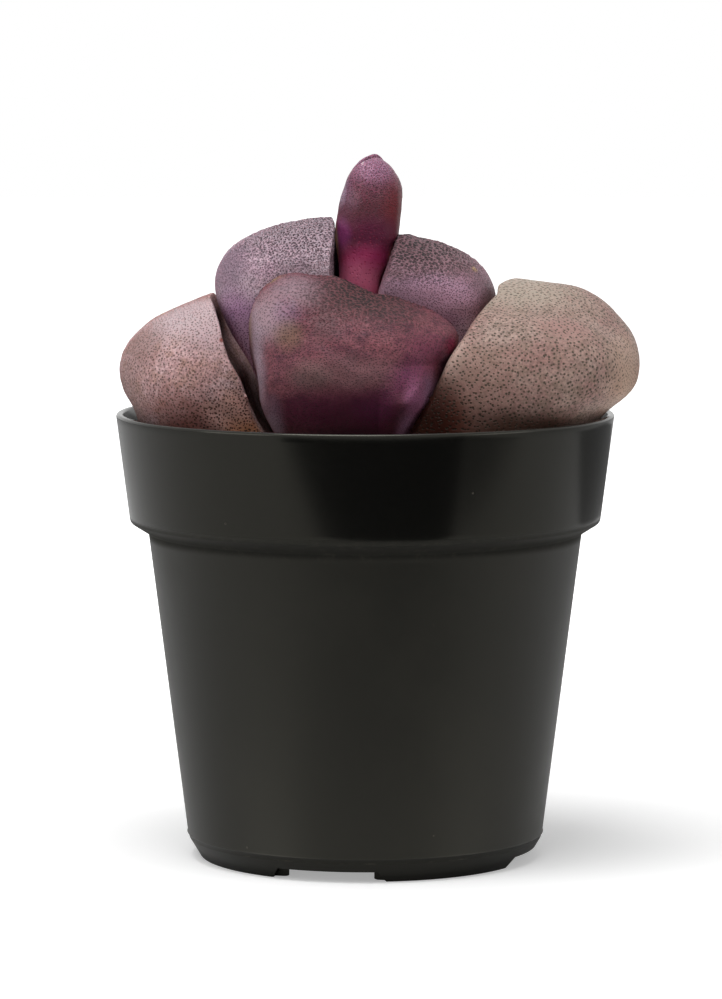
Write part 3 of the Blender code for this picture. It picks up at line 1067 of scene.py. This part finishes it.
def give_way(soft, firm):
    """Move the soft leaf's points out of the firm leaf, and return how many moved."""
    surface = surface_tree(bpy.data.objects[firm + "_skin"].data)
    moved = 0
    for vert in bpy.data.objects[soft + "_skin"].data.vertices:
        facing = surface.ray_cast(vert.co, UPWARD)[1]
        if facing is None or facing.dot(UPWARD) <= 0:
            continue
        spot, normal, _, _ = surface.find_nearest(vert.co)
        vert.co = spot + normal * PRESS_GAP + (vert.co - spot) * PRESS_SPREAD
        moved += 1
    return moved


for soft, firm in (
    ("inner_leaf_right", "new_leaf_front"),
    ("inner_leaf_right", "new_leaf_back"),
    ("outer_leaf_right", "inner_leaf_right"),
    ("outer_leaf_right", "front_leaf"),
):
    print(f"{soft}: {give_way(soft, firm)} points moved out of {firm}")

# %% [markdown]
# ## The pot
#
# Pots of this kind are pressed or moulded from black plastic, with a wall of
# less than a millimetre. The collar stiffens the mouth and lets empty pots be
# pulled apart when they are nested. Such a shape is a turned one, so its
# section is drawn once, as corners with a rounding each, and spun a full turn
# about the pot's axis. The roundings matter: on a black object, a thin light
# line along each corner is most of what the eye gets to read the form. Points
# just beyond a rounding keep its shading out of the long plain walls.

# %% Pot profile
COLLAR_BOTTOM_RADIUS = RIM_RADIUS - 1.8 * MM
COLLAR_BOTTOM_Z = 44.1 * MM
SHOULDER_RADIUS = RIM_RADIUS - 4.2 * MM
SHOULDER_Z = 42.6 * MM
BODY_BOTTOM_RADIUS = RIM_RADIUS - 9.3 * MM
BODY_BOTTOM_Z = 2.6 * MM
FOOT_RADIUS = RIM_RADIUS - 10.9 * MM
FOOT_RING_WIDTH = 1.7 * MM
WALL = 0.9 * MM
WALL_SLOPE = (RIM_RADIUS - COLLAR_BOTTOM_RADIUS) / (POT_HEIGHT - COLLAR_BOTTOM_Z)
EDGE = 1.2 * MM
FLOOR_UNDERSIDE_Z = 1.2 * MM
FLOOR_TOP_Z = 2.3 * MM


def rounded_corner(before, corner, after, radius, steps=4):
    """Points of an arc that rounds one corner of a profile."""
    to_before = (before - corner).normalized()
    to_after = (after - corner).normalized()
    half = to_before.angle(to_after) / 2
    reach = radius / math.tan(half)
    middle = corner + (to_before + to_after).normalized() * radius / math.sin(half)
    start = (corner + to_before * reach - middle).normalized()
    end = (corner + to_after * reach - middle).normalized()
    return [middle + start.slerp(end, i / steps) * radius for i in range(steps + 1)]


def rounded_profile(corners):
    """A profile from corners of (radius, height, rounding), each made an arc."""
    points = [Vector((radius, height)) for radius, height, _ in corners]
    profile = [points[0]]
    for i in range(1, len(points) - 1):
        rounding = corners[i][2]
        if rounding:
            profile += rounded_corner(points[i - 1], points[i], points[i + 1], rounding)
        else:
            profile.append(points[i])
    return profile + [points[-1]]


pot_profile = rounded_profile((
    (0, FLOOR_TOP_Z, 0),
    (FOOT_RADIUS - WALL, FLOOR_TOP_Z, 0.6 * MM),
    (BODY_BOTTOM_RADIUS - WALL, BODY_BOTTOM_Z + WALL, 0.8 * MM),
    (SHOULDER_RADIUS - WALL, SHOULDER_Z + WALL, 0.4 * MM),
    (COLLAR_BOTTOM_RADIUS - WALL, COLLAR_BOTTOM_Z + WALL, 0.4 * MM),
    (RIM_RADIUS - WALL, POT_HEIGHT, 0.3 * MM),
    (RIM_RADIUS, POT_HEIGHT, 0.35 * MM),
    (RIM_RADIUS - WALL_SLOPE * EDGE, POT_HEIGHT - EDGE, 0),
    (COLLAR_BOTTOM_RADIUS + WALL_SLOPE * EDGE, COLLAR_BOTTOM_Z + EDGE, 0),
    (COLLAR_BOTTOM_RADIUS, COLLAR_BOTTOM_Z, 0.7 * MM),
    (SHOULDER_RADIUS, SHOULDER_Z, 0.35 * MM),
    (SHOULDER_RADIUS - WALL_SLOPE * EDGE, SHOULDER_Z - EDGE, 0),
    (BODY_BOTTOM_RADIUS + 0.12 * MM, BODY_BOTTOM_Z + 0.75 * MM, 0),
    (BODY_BOTTOM_RADIUS + 0.2 * MM, BODY_BOTTOM_Z + 0.55 * MM, 0),
    (BODY_BOTTOM_RADIUS + 0.02 * MM, BODY_BOTTOM_Z + 0.35 * MM, 0),
    (BODY_BOTTOM_RADIUS - 0.1 * MM, BODY_BOTTOM_Z - 0.1 * MM, 0.6 * MM),
    (FOOT_RADIUS, 0, 0.3 * MM),
    (FOOT_RADIUS - FOOT_RING_WIDTH, 0, 0.2 * MM),
    (FOOT_RADIUS - FOOT_RING_WIDTH, FLOOR_UNDERSIDE_Z, 0),
    (0, FLOOR_UNDERSIDE_Z, 0),
))
print(f"pot profile: {len(pot_profile)} points")

# %% [markdown]
# ## Drainage
#
# Water leaves through holes in the floor, and the foot ring has notches so
# that it can run out when the pot stands on a flat shelf. Both are cut from the
# spun shell with Boolean modifiers, which are applied at once, because later
# steps want plain vertices.

# %% Pot shell
POT_STEPS = 192
NOTCH_COUNT = 4
NOTCH_WIDTH = 13.2 * MM
NOTCH_HEIGHT = 1.4 * MM
NOTCH_DEPTH = 5.0 * MM
NOTCH_FLARE = 1.12
NOTCH_HEADING = math.radians(-103)
HOLE_RADIUS = 1.7 * MM
HOLE_CIRCLE = 17.0 * MM
HOLE_CUT_DEPTH = 6 * MM


def spin_profile(profile, steps):
    bm = bmesh.new()
    verts = [bm.verts.new((point.x, 0, point.y)) for point in profile]
    edges = [bm.edges.new(pair) for pair in zip(verts, verts[1:])]
    bmesh.ops.spin(
        bm, geom=verts + edges, cent=(0, 0, 0), axis=(0, 0, 1),
        angle=math.tau, steps=steps, use_merge=True,
    )
    bmesh.ops.remove_doubles(bm, verts=bm.verts[:], dist=0.002 * MM)
    bmesh.ops.recalc_face_normals(bm, faces=bm.faces[:])
    bmesh.ops.translate(bm, vec=AXIS, verts=bm.verts[:])
    return bm


def drainage_cutter():
    """Four flared notches and four holes, as one mesh of separate cutters."""
    bm = bmesh.new()
    for index in range(NOTCH_COUNT):
        heading = NOTCH_HEADING + index * math.tau / NOTCH_COUNT
        notch = bmesh.ops.create_cube(bm, size=1)["verts"]
        bmesh.ops.scale(bm, vec=(NOTCH_DEPTH, NOTCH_WIDTH, 2 * NOTCH_HEIGHT), verts=notch)
        lower = [vert for vert in notch if vert.co.z < 0]
        bmesh.ops.scale(bm, vec=(1, NOTCH_FLARE ** 2, 1), verts=lower)
        bmesh.ops.translate(bm, vec=(FOOT_RADIUS, 0, 0), verts=notch)
        hole = bmesh.ops.create_cone(
            bm, cap_ends=True, segments=32, depth=HOLE_CUT_DEPTH,
            radius1=HOLE_RADIUS, radius2=HOLE_RADIUS,
        )["verts"]
        bmesh.ops.translate(bm, vec=(HOLE_CIRCLE, 0, FLOOR_TOP_Z), verts=hole)
        bmesh.ops.rotate(
            bm, cent=(0, 0, 0), matrix=Matrix.Rotation(heading, 3, "Z"), verts=notch + hole
        )
    bmesh.ops.translate(bm, vec=AXIS, verts=bm.verts[:])
    bmesh.ops.recalc_face_normals(bm, faces=bm.faces[:])
    return finish_mesh(bm, "drainage_cutter")


pot = finish_mesh(spin_profile(pot_profile, POT_STEPS), "pot_shell")
cutter = drainage_cutter()
cut = pot.modifiers.new("Drainage", "BOOLEAN")
cut.object = cutter
apply_modifiers(pot, sharp_angle=35)
bpy.data.objects.remove(cutter)
print(f"pot: {count_faces(pot)} triangles")

# %% [markdown]
# ## Black plastic
#
# The plastic itself is close to black, and almost all the light that comes off
# it is a reflection. The collar came out of a polished part of the mould and
# mirrors its surroundings quite sharply. The body is satin, so the same
# surroundings melt into soft gradients there. Handling leaves faint smudges,
# dust settles along the ledge and the rim, and the moulding shows as fine
# streaks up the wall. A thin light line above the foot is a painted highlight
# along that edge, in the colour of the dust.

# %% Plastic material
LINE_WIDTH = 0.12 * MM
material, graph, shader, coordinates = new_material(
    "black_plastic", IOR=1.45, Specular_IOR_Level=0.36, Specular_Tint=(1.0, 0.97, 0.82, 1)
)
height = graph.add("ShaderNodeSeparateXYZ", {0: coordinates}).outputs["Z"]
collar = graph.ramp(height, SHOULDER_Z, COLLAR_BOTTOM_Z)

smudges = graph.noise(coordinates, 55.0, 4.0, 0.6)
smudge = graph.ramp(smudges, 0.45, 0.75)
stretched = graph.add(
    "ShaderNodeMapping", {"Vector": coordinates, "Scale": (1.0, 1.0, 0.04)}
).outputs["Vector"]
streaks = graph.noise(stretched, 900.0, 3.0, 0.6)
fine = graph.noise(coordinates, 2600.0, 2.0, 0.6)

specks = graph.add("ShaderNodeTexVoronoi", {"Vector": coordinates, "Scale": 420.0})
speck_chance = graph.add("ShaderNodeSeparateColor", {0: specks.outputs["Color"]}).outputs[0]
rare = graph.ramp(speck_chance, 0.9, 0.97)
speck = graph.math("MULTIPLY", graph.ramp(specks.outputs["Distance"], 0.03, 0.09, 1.0, 0.0), rare)
ledge = graph.math(
    "MULTIPLY",
    graph.ramp(height, SHOULDER_Z - 1.2 * MM, SHOULDER_Z),
    graph.ramp(height, COLLAR_BOTTOM_Z, COLLAR_BOTTOM_Z + 0.8 * MM, 1.0, 0.0),
)
rim = graph.ramp(height, POT_HEIGHT - 0.5 * MM, POT_HEIGHT - 0.1 * MM)
dust_and_highlight_line = graph.math("MULTIPLY", graph.math("MAXIMUM", ledge, rim), 0.3)
# A thin light band just above the foot is a painted highlight along that edge, mixed in with the
# dust.
painted_foot_highlight = graph.math(
    "MULTIPLY",
    graph.ramp(height, BODY_BOTTOM_Z - LINE_WIDTH, BODY_BOTTOM_Z),
    graph.ramp(height, BODY_BOTTOM_Z, BODY_BOTTOM_Z + LINE_WIDTH, 1.0, 0.0),
)
dust_and_highlight_line = graph.math("MAXIMUM", dust_and_highlight_line, painted_foot_highlight)
clumps = graph.ramp(graph.noise(coordinates, 700.0, 3.0, 0.7), 0.5, 0.8)
dust_and_highlight = graph.math("MAXIMUM", graph.math("MULTIPLY", dust_and_highlight_line, clumps), speck)

base = graph.blend(graph.math("MULTIPLY", smudge, 0.5), linear("0D0D0C"), linear("171613"))
# Dust, and the painted highlight line above the foot, lighten the base colour.
base = graph.blend(graph.math("MULTIPLY", dust_and_highlight, 0.35), base, linear("6B665C"))
graph.link(base, shader.inputs["Base Color"])

rough = graph.ramp(collar, 0.0, 1.0, 0.4, 0.16)
rough = graph.math("ADD", rough, graph.math("MULTIPLY", smudge, 0.06))
rough = graph.math("ADD", rough, graph.math("MULTIPLY", dust_and_highlight, 0.3))
rough = graph.math("ADD", rough, graph.math("MULTIPLY", ledge, 0.5))
graph.link(rough, shader.inputs["Roughness"])

relief = graph.math("ADD", graph.math("MULTIPLY", streaks, 0.35), graph.math("MULTIPLY", fine, 0.4))
relief = graph.math("ADD", relief, speck)
graph.bump(shader, relief, 0.25, 0.02 * MM)
pot.data.materials.append(material)
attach(pot, "root")
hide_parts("pot")
print(f"{material.name}: {len(material.node_tree.nodes)} nodes")

# %% [markdown]
# ## The potting mix
#
# Split rocks stand in a mix that drains at once: pumice grit and crushed bark,
# with a little peat to bind them. Only a ring of it shows between the leaves
# and the wall. The solid carries the peat as colour and bump. Real crumbs lie
# on top of it, because a bump casts no shadow and has a smooth outline.

# %% Mix material
def mix_material(name, tones, grains, roughness, depth):
    """A dry, granular material: each grain has one of three tones."""
    material, graph, shader, coordinates = new_material(name, Specular_IOR_Level=0.2)
    cells = graph.add("ShaderNodeTexVoronoi", {"Vector": coordinates, "Scale": grains})
    tint = graph.add("ShaderNodeSeparateColor", {0: cells.outputs["Color"]})
    fine = graph.noise(coordinates, 3200.0, 4.0, 0.7)
    clouds = graph.noise(coordinates, 140.0, 3.0, 0.6)
    share = graph.math("ADD", graph.math("MULTIPLY", tint.outputs[0], 0.6), clouds)
    colour = graph.blend(graph.ramp(share, 0.55, 1.0), linear(tones[0]), linear(tones[1]))
    colour = graph.blend(graph.ramp(tint.outputs[1], 0.86, 0.9), colour, linear(tones[2]))
    light = graph.blend(graph.ramp(fine, 0.3, 0.7), (0.25, 0.25, 0.25, 1), (0.75, 0.75, 0.75, 1))
    graph.link(graph.blend(0.7, colour, light, "OVERLAY"), shader.inputs["Base Color"])
    graph.link(graph.ramp(fine, 0.3, 0.7, 1.0, roughness), shader.inputs["Roughness"])
    hump = graph.ramp(cells.outputs["Distance"], 0.1, 0.6, 1.0, 0.0)
    relief = graph.math("ADD", hump, graph.math("MULTIPLY", fine, 0.6))
    graph.bump(shader, relief, 0.8, depth)
    return material


def dress_solid(node, material):
    """Give a solid of the frame a new finish, and return it."""
    solid = frame["nodes"][node]
    solid.data.materials.clear()
    solid.data.materials.append(material)
    print(f"{node}: {material.name}")
    return solid


bed_finish = mix_material("mix_bed", ("2B1F17", "4A382A", "9B8F80"), 1100.0, 0.8, 0.5 * MM)
bed = dress_solid("potting_mix", bed_finish)

# %% [markdown]
# ## Loose crumbs
#
# Crumbs are dropped on the solid at random, but always in the same way, from a
# seed of their own. Each is a rounded chip, a little out of shape, flattened and
# turned. A crumb that would touch a leaf or the wall is left out.

# %% Scatter crumbs
BED_RADIUS = 29.6 * MM
TRIES = 8
MAX_TILT = 0.5
DOWNWARD = Vector((0, 0, -1))
bed_tree = surface_tree(bed.data)
leaf_trees = [surface_tree(obj.data) for obj in bpy.data.objects if obj.name.endswith("_skin")]


def scatter(name, count, sizes, widths, flatness, seed, material):
    """Crumbs dropped on the bed, clear of the leaves and of the wall, as one piece."""
    rng = random.Random(seed)
    bm = bmesh.new()
    placed = 0
    for _ in range(count * TRIES):
        size = rng.uniform(*sizes) * MM
        heading = rng.uniform(0, math.tau)
        reach = math.sqrt(rng.uniform(0.1, 1.0)) * (BED_RADIUS - size * 1.1)
        above = AXIS + Vector((reach * math.cos(heading), reach * math.sin(heading), POT_HEIGHT))
        spot = bed_tree.ray_cast(above, DOWNWARD)[0]
        if spot is None or placed == count:
            continue
        centre = spot + Vector((0, 0, size * flatness * 0.45))
        if any(tree.find_nearest(centre, size * 1.15)[0] for tree in leaf_trees):
            continue
        crumb = bmesh.ops.create_icosphere(bm, subdivisions=1, radius=size)["verts"]
        for vert in crumb:
            vert.co *= rng.uniform(0.72, 1.1)
        tilts = [rng.uniform(-MAX_TILT, MAX_TILT) for _ in "xy"]
        turn = Euler((*tilts, rng.uniform(0, math.tau)))
        shape = Matrix.Diagonal((1, rng.uniform(*widths), flatness)).to_4x4()
        matrix = Matrix.Translation(centre) @ turn.to_matrix().to_4x4() @ shape
        bmesh.ops.transform(bm, matrix=matrix, verts=crumb)
        placed += 1
    piece = finish_mesh(bm, name, sharp_angle=20)
    piece.data.materials.append(material)
    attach(piece, "root")
    print(f"{name}: {placed} crumbs, {count_faces(piece)} triangles")


for name, tones, finish, crumbs in (
    ("mix_peat", ("31241A", "54402F", "6B543E"), (900.0, 0.85, 0.1 * MM),
     (900, (0.3, 0.75), (0.6, 1.0), 0.75, 11)),
    ("mix_grit", ("A79C8D", "C2B9AB", "6E645A"), (520.0, 0.7, 0.08 * MM),
     (320, (0.4, 1.0), (0.7, 1.0), 0.8, 12)),
    ("mix_bark", ("4A2F1D", "6E4A2E", "8C6A48"), (480.0, 0.75, 0.1 * MM),
     (170, (0.7, 1.5), (0.3, 0.6), 0.4, 13)),
):
    scatter(name, *crumbs, mix_material(name, tones, *finish))

# %% [markdown]
# ## Stem and taproot
#
# The leaves sit on a short stem that passes into a fleshy taproot. Its skin is
# corky: pale brown, with fibres along it and dark furrows between them.
# Stretched noise gives the fibres, and the same noise gives the relief.

# %% Stem finish
material, graph, shader, coordinates = new_material(
    "root_bark", Roughness=0.85, Specular_IOR_Level=0.2
)
stretched = graph.add(
    "ShaderNodeMapping", {"Vector": coordinates, "Scale": (1.0, 1.0, 0.18)}
).outputs["Vector"]
fibres = graph.noise(stretched, 1500.0, 4.0, 0.65)
furrows = graph.ramp(graph.noise(stretched, 520.0, 3.0, 0.6), 0.4, 0.5)
colour = graph.blend(graph.ramp(fibres, 0.35, 0.65), linear("6E5A44"), linear("9C8868"))
colour = graph.blend(furrows, linear("3B2C20"), colour)
flakes = graph.ramp(graph.noise(coordinates, 420.0, 3.0, 0.6), 0.58, 0.66)
colour = graph.blend(graph.math("MULTIPLY", flakes, 0.7), colour, linear("B7A583"))
graph.link(colour, shader.inputs["Base Color"])
relief = graph.math("ADD", graph.math("MULTIPLY", furrows, 0.7), fibres)
graph.bump(shader, relief, 0.8, 0.2 * MM)
dress_solid("stem_and_taproot", material)

# %% [markdown]
# ## Studio
#
# The object stands on a plain white sweep. The floor is lit like anything else
# near the pot, so that it keeps the pot's shadow, and passes into even white
# further out. The world is white to the eye and in reflections, and gives only
# a weak fill, because the shape of the leaves is drawn by light from above.

# %% Floor
SHADOW_REACH = 0.06
WHITE_REACH = 0.3
NEAR_GLOW = 0.35
bm = bmesh.new()
bmesh.ops.create_grid(bm, x_segments=1, y_segments=1, size=2)
floor = finish_mesh(bm, "studio_floor")
material, graph, shader, coordinates = new_material(
    "studio_white", Roughness=0.9, Specular_IOR_Level=0.0,
    Base_Color=(0.85, 0.85, 0.85, 1), Emission_Color=(1, 1, 1, 1),
)
path = graph.add("ShaderNodeLightPath")
reach = graph.vector_math("LENGTH", coordinates, (0, 0, 0))
far = graph.ramp(reach, SHADOW_REACH, WHITE_REACH, NEAR_GLOW, 1.0)
glow = graph.math("MULTIPLY", path.outputs["Is Camera Ray"], far)
graph.link(glow, shader.inputs["Emission Strength"])
floor.data.materials.append(material)

# %% World
FILL = 0.25
world = bpy.data.worlds.new("studio_world")
world.use_nodes = True
bpy.context.scene.world = world
graph = Graph(world.node_tree)
background = world.node_tree.nodes["Background"]
background.inputs["Color"].default_value = (1, 1, 1, 1)
path = graph.add("ShaderNodeLightPath")
seen = graph.math("MAXIMUM", path.outputs["Is Camera Ray"], path.outputs["Is Glossy Ray"])
seen = graph.math("MAXIMUM", seen, path.outputs["Is Transmission Ray"])
graph.link(graph.ramp(seen, 0.0, 1.0, FILL, 1.0), background.inputs["Strength"])
print("studio: floor and world")

# %% [markdown]
# ## Lamps
#
# One large softbox hangs above and slightly in front. Two weaker ones stand on
# the left and on the right, so that neither flank of the plant goes flat.

# %% Lamps
def softbox(name, location, size, power):
    data = bpy.data.lights.new(name, "AREA")
    data.shape = "SQUARE"
    data.size = size
    data.energy = power
    lamp = bpy.data.objects.new(name, data)
    lamp.location = location
    lamp.rotation_euler = (aim - lamp.location).to_track_quat("-Z", "Y").to_euler()
    bpy.context.scene.collection.objects.link(lamp)
    print(f"{name}: {power} W")


softbox("top_softbox", Vector((-0.08, -0.15, 0.75)), 0.45, 4.4)
softbox("left_softbox", Vector((-0.65, -0.35, 0.3)), 0.5, 1.4)
softbox("right_softbox", Vector((0.65, -0.3, 0.25)), 0.4, 0.7)

# %% [markdown]
# ## The black flag and the grey cards
#
# A dark object needs something dark to reflect as well, or it turns grey: a
# black flag lies on the floor in front of the pot. The tapered collar looks
# down at the floor, and mirrors the flag's near edge as a dark shape in its
# middle. Two grey cards lie on the right, one in front and one behind. The
# collar's right half sees them at a slant, and does not mirror bare white.

# %% Flag and cards
CARD_HEIGHT = 0.5
FLAG_OUTLINE = (
    (-125, -170), (-80, -155), (-22, -128), (66, -104), (100, -118), (150, -160),
    (320, -330), (-240, -330),
)
FRONT_CARD_OUTLINE = ((100, -118), (239, -65), (320, -330), (150, -160))
BACK_CARD_OUTLINE = ((168, 120), (300, 100), (330, 420), (60, 500), (30, 440), (125, 285))


def matt_material(name, level):
    return new_material(
        name, Roughness=1.0, Base_Color=(level, level, level, 1), Specular_IOR_Level=0.0
    )[0]


def reflected_card(name, outline, material):
    """A flat card just above the floor that shows in reflections alone."""
    bm = bmesh.new()
    corners = [bm.verts.new(millimetres(x, y, CARD_HEIGHT) + AXIS) for x, y in outline]
    edges = [bm.edges.new(pair) for pair in zip(corners, corners[1:] + corners[:1])]
    bmesh.ops.contextual_create(bm, geom=edges)
    card = finish_mesh(bm, name)
    card.visible_camera = False
    card.visible_diffuse = False
    card.visible_transmission = False
    card.visible_shadow = False
    card.data.materials.append(material)
    print(f"{name}: {material.name}")


black = matt_material("studio_black", 0.005)
grey = matt_material("studio_grey", 0.22)
reflected_card("studio_flag", FLAG_OUTLINE, black)
reflected_card("studio_card_front", FRONT_CARD_OUTLINE, grey)
reflected_card("studio_card_back", BACK_CARD_OUTLINE, grey)
